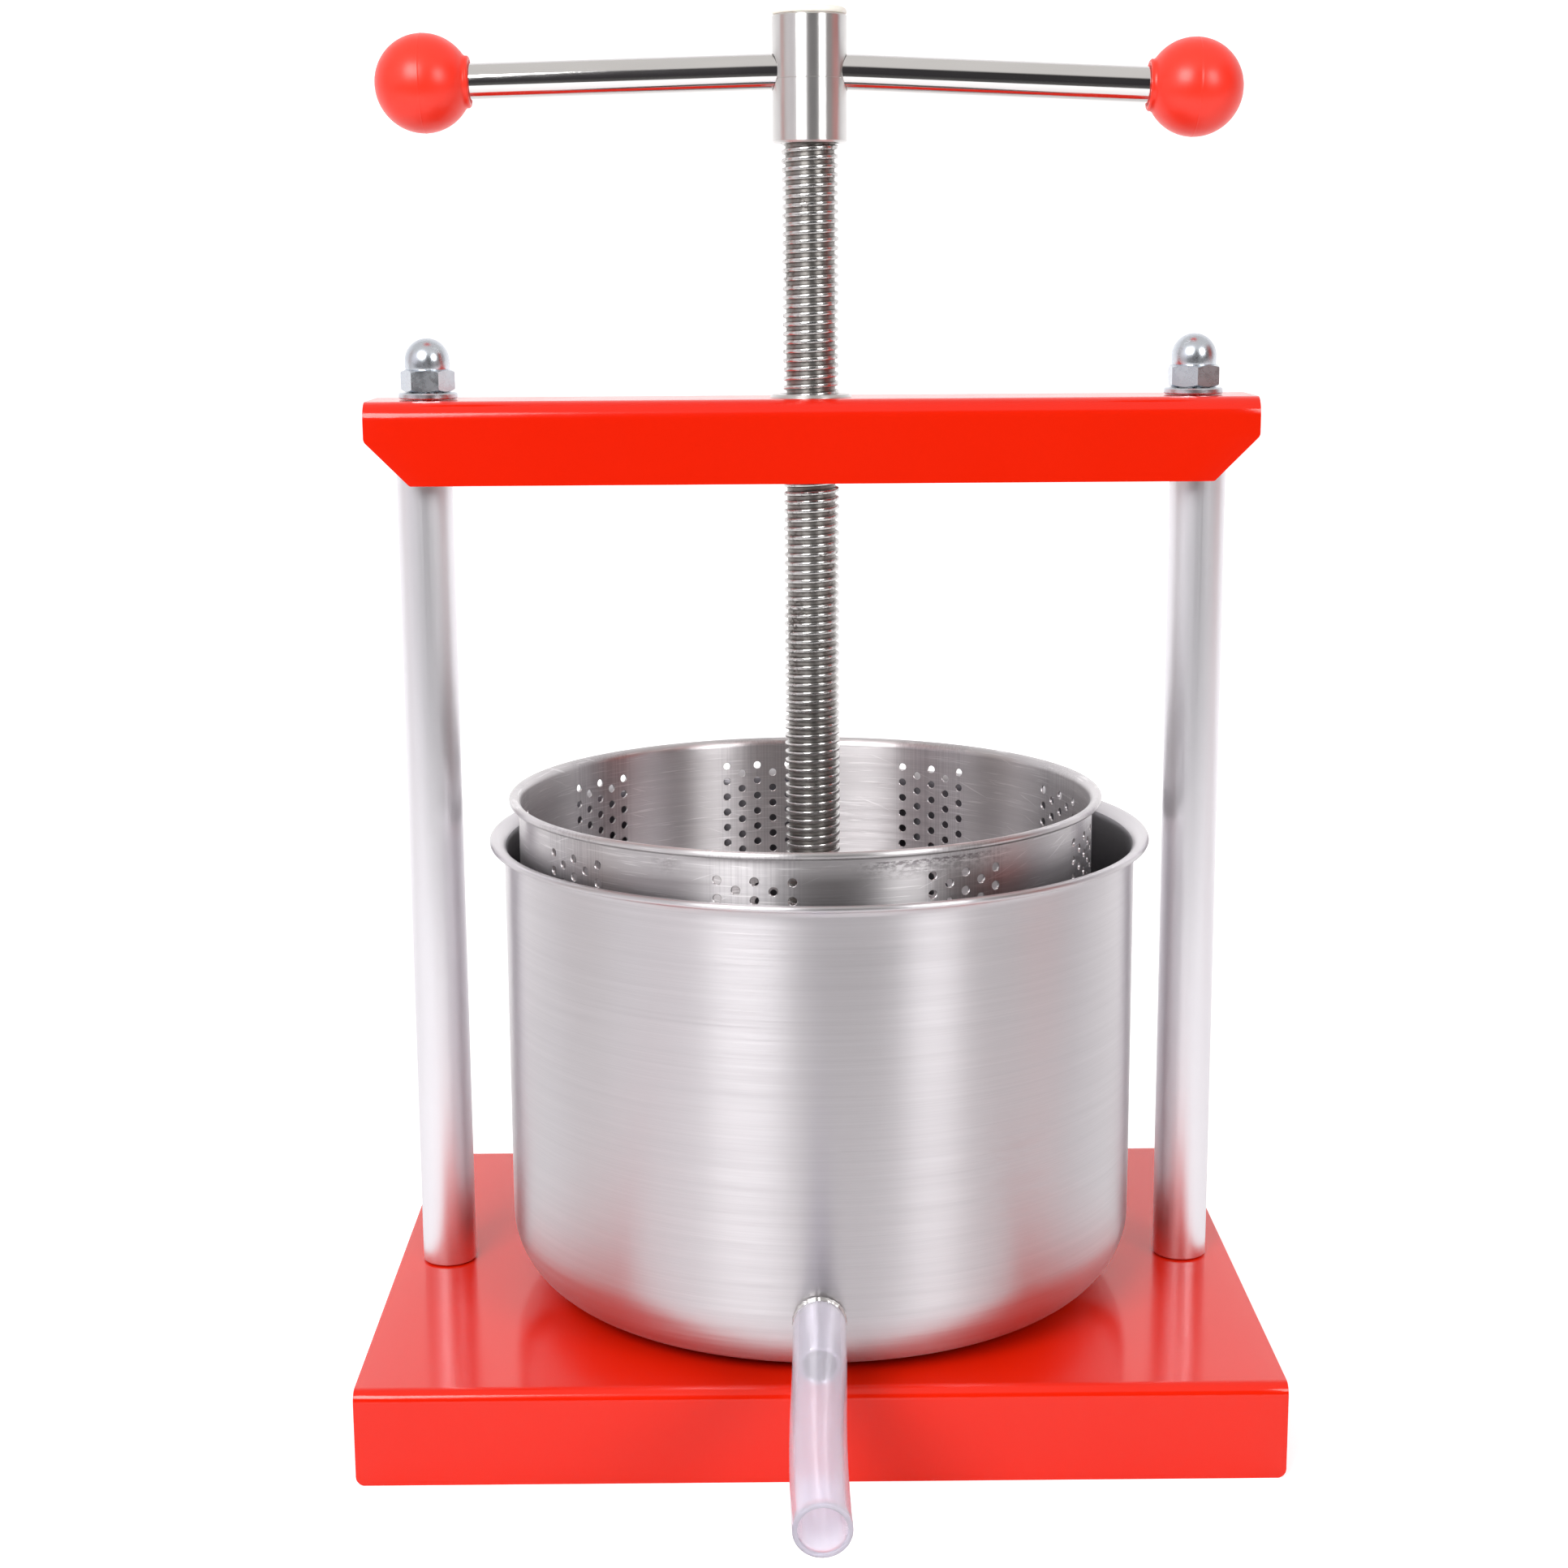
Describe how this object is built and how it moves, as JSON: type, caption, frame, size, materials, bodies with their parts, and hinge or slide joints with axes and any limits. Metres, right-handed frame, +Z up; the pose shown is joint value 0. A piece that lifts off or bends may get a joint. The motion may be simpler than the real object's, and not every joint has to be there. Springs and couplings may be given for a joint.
{
  "type": "cheese press",
  "caption": "Bench screw press for soft cheese: steel base, two columns and crossbeam, turning handle, press plate, perforated basket in a drain pot with spout and short hose.",
  "frame": {"origin": "on the surface the press stands on, under the middle of its box; the screw's axis is 15.45 mm behind it", "axes": "+Z up along the screw, +X to the right seen from the spout's side, -Y towards the spout and the user"},
  "size_m": [0.3, 0.3516, 0.4692],
  "materials": {
    "red_paint": "gloss",
    "aluminium": "satin",
    "brushed_steel": "brushed",
    "turned_steel": "turned",
    "zinc_plate": "zinc plated",
    "chrome_plate": "polished",
    "red_plastic": "semi-gloss",
    "cream_plastic": "satin",
    "clear_hose": "translucent"
  },
  "bodies": {
    "frame": {"base_plate": "red_paint", "crossbeam": "red_paint", "post_left": "aluminium", "post_right": "aluminium", "tie_rod_left": "zinc_plate", "tie_rod_right": "zinc_plate", "base_washer_left": "zinc_plate", "base_washer_right": "zinc_plate", "base_nut_left": "zinc_plate", "base_nut_right": "zinc_plate", "top_washer_left": "zinc_plate", "top_washer_right": "zinc_plate", "cap_nut_left": "zinc_plate", "cap_nut_right": "zinc_plate", "screw_bush": "turned_steel", "drain_pot": "brushed_steel", "drain_spout": "brushed_steel", "curd_basket": "brushed_steel", "drain_hose": "clear_hose"},
    "plate_group": {"press_plate": "brushed_steel", "plate_socket": "turned_steel", "keeper_screw": "zinc_plate"},
    "screw_group": {"pressing_screw": "turned_steel", "handle_hub": "turned_steel", "hub_cap": "cream_plastic", "bar_grub_screw": "zinc_plate", "handle_bar": "chrome_plate", "knob_left": "red_plastic", "knob_right": "red_plastic"}
  },
  "joints": [
    {"name": "plate_travel", "type": "slide", "parent": "frame", "child": "plate_group", "axis": [0, 0, 1], "range_m": [-0.0631, 0.1621]},
    {"name": "screw_turn", "type": "hinge", "parent": "plate_group", "child": "screw_group", "pos_m": [0, 0.01545, 0.127], "axis": [0, 0, 1], "range_deg": [-7560, 19440]}
  ],
  "couplings": [
    {"joint": "plate_travel", "follows": "screw_turn", "m_per_rad": 0.00047746}
  ]
}
